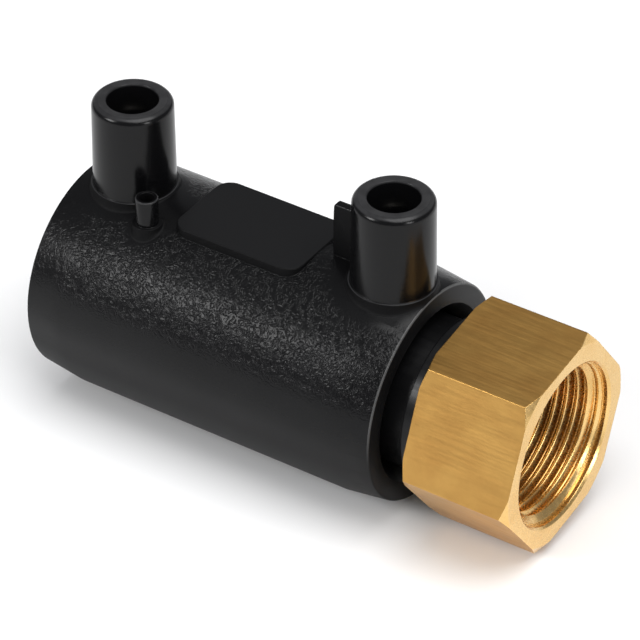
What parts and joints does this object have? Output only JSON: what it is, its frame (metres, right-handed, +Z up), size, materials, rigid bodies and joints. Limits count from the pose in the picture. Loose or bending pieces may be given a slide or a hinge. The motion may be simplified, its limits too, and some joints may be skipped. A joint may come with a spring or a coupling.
{
  "type": "electrofusion coupler",
  "caption": "Black plastic electrofusion pipe coupler with upright terminal shrouds, one open pipe socket and a brass hexagon end with a female thread.",
  "frame": {"origin": "centre of the open pipe socket's mouth, on the pipe axis, in the plane of the barrel's end face", "axes": "+X along the pipe axis from the open socket towards the brass end, +Z up along the terminal pins, +Y to the side away from the fusion indicator"},
  "size_m": [0.0894, 0.038, 0.0536],
  "materials": {
    "black_moulding": "fine leather grain on the barrel, smooth and semi-gloss on the shrouds, smooth matte on the pad",
    "resistance_wire": "bare copper-nickel wire",
    "plated_pin": "bright plated",
    "indicator_plastic": "smooth",
    "black_pipe": "smooth extruded",
    "turned_brass": "drawn flats with fine scratches, turned face and bore",
    "seal_rubber": "moulded"
  },
  "bodies": {
    "root": {"coupler_body": "black_moulding", "heating_coil": "resistance_wire", "terminal_pin_left": "plated_pin", "terminal_pin_right": "plated_pin", "fusion_indicator": "indicator_plastic", "pe_spigot": "black_pipe", "brass_insert": "turned_brass", "seal_ring": "seal_rubber"}
  },
  "joints": []
}
